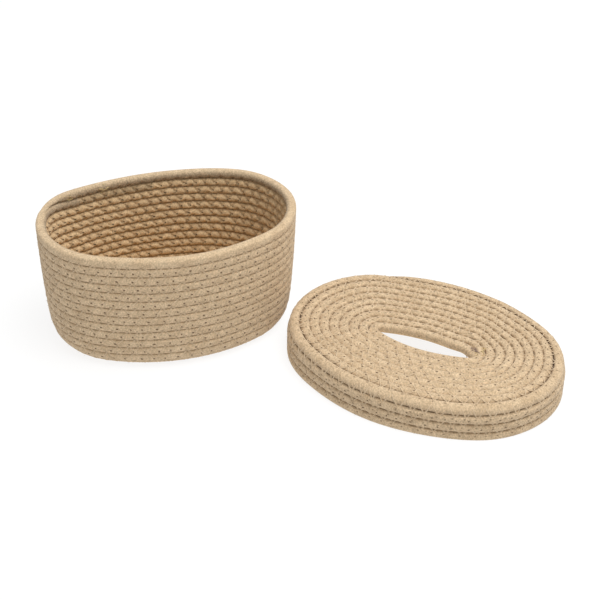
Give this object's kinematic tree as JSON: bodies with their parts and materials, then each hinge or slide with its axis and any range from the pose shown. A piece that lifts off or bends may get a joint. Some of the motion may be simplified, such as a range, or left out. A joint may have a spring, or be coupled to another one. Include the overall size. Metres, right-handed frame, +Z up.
{
  "type": "napkin basket",
  "caption": "Oval basket coiled from sewn cotton rope, with a lift-off lid that fits over the rim and has a slot in its top for drawing out napkins.",
  "frame": {"origin": "on the basket's underside, under the middle of the base coil's first straight length, a quarter of a rope from the oval's centre", "axes": "+X along the basket's long axis, +Y across it, away from where the lid lies, +Z up from the table"},
  "size_m": [0.4305, 0.3337, 0.1159],
  "materials": {
    "cotton_rope": "matte braided cotton rope, sewn turn to turn",
    "sewing_thread": "matte sewing thread"
  },
  "bodies": {
    "basket": {"basket_base_coil": "cotton_rope", "basket_wall_coil": "cotton_rope", "basket_rim_turn": "cotton_rope"},
    "lid": {"lid_top_coil": "cotton_rope", "lid_skirt_coil": "cotton_rope"}
  },
  "joints": [
    {"name": "lid_lift", "type": "slide", "parent": "basket", "child": "lid", "axis": [0, 0, 1], "range_m": [0, 0.25]}
  ]
}
